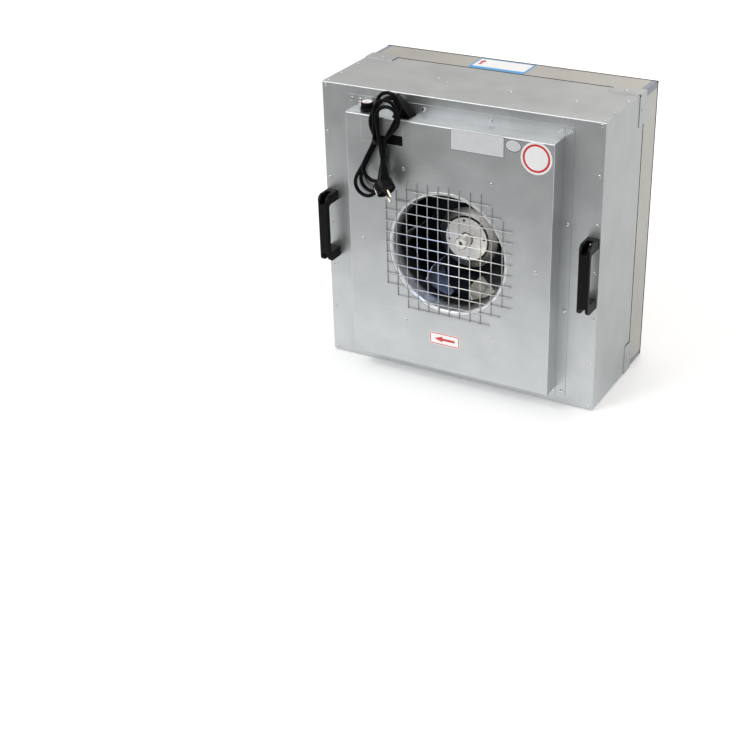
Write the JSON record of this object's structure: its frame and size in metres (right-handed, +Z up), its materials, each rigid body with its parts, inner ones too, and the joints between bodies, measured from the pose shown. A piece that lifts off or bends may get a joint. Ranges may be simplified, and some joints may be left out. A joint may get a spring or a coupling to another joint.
{
  "type": "fan filter unit",
  "caption": "Square sheet casing with a raised fan cover, guarded round inlet, two bow handles, speed knob and mains cord, and a pleated filter in its rear frame.",
  "frame": {"origin": "middle of the unit's footprint as it stands on a narrow wall, on the surface it stands on, measured without the power cord", "axes": "+Z up, +X across the front plate to the right as seen from the inlet side, +Y through the depth from the inlet side to the filter side"},
  "size_m": [0.5802, 0.3583, 0.5963],
  "materials": {
    "galvanised_sheet": "spangled, satin",
    "spun_steel": "bright spun sheet",
    "guard_wire": "zinc plated",
    "rivet": "bright",
    "zinc_screw": "zinc plated",
    "black_plastic": "fine grain",
    "regulator": "satin",
    "cast_rotor": "machined",
    "motor_steel": "bare",
    "wheel_sheet": "galvanised",
    "capacitor_case": "smooth",
    "seal_rubber": "closed cell foam",
    "frame_aluminium": "anodised",
    "corner_post": "smooth",
    "filter_paper": "glass fibre paper",
    "cord_jacket": "smooth"
  },
  "bodies": {
    "casing": {"casing_wrap": "galvanised_sheet", "side_panel_left": "galvanised_sheet", "side_panel_right": "galvanised_sheet", "raised_cover": "galvanised_sheet", "motor_plate": "galvanised_sheet", "motor_rail_left": "galvanised_sheet", "motor_rail_right": "galvanised_sheet", "inlet_ring": "spun_steel", "mesh_guard": "guard_wire", "cover_rivets": "rivet", "casing_rivets": "rivet", "tab_rivets": "rivet", "cover_screws": "zinc_screw", "handle_screws": "zinc_screw", "handle_left": "black_plastic", "handle_right": "black_plastic", "power_inlet": "black_plastic", "speed_control": "regulator", "motor_stator": "motor_steel", "capacitor": "capacitor_case", "seal_inlet_side": "seal_rubber", "seal_outlet_side": "seal_rubber", "frame_top": "frame_aluminium", "frame_bottom": "frame_aluminium", "frame_left": "frame_aluminium", "frame_right": "frame_aluminium", "corner_posts": "corner_post", "pleated_media": "filter_paper", "cord_connector": "cord_jacket", "cord_lead": "cord_jacket", "cord_hank": "cord_jacket", "cord_tie": "cord_jacket", "cord_tail": "cord_jacket", "mains_plug": "cord_jacket"},
    "fan_rotor": {"rotor_can": "cast_rotor", "rotor_boss": "cast_rotor", "rotor_core": "motor_steel", "rotor_shaft": "motor_steel", "rotor_screws": "zinc_screw", "impeller_backplate": "wheel_sheet", "impeller_blades": "wheel_sheet", "impeller_shroud": "wheel_sheet"},
    "speed_knob": {"speed_knob": "black_plastic"}
  },
  "joints": [
    {"name": "fan_spin", "type": "hinge", "parent": "casing", "child": "fan_rotor", "pos_m": [0, -0.05, 0.2901], "axis": [0, 1, 0], "continuous": true},
    {"name": "speed_turn", "type": "hinge", "parent": "casing", "child": "speed_knob", "pos_m": [-0.1765, -0.12795, 0.5416], "axis": [0, 0, 1], "range_deg": [-150, 150]}
  ]
}
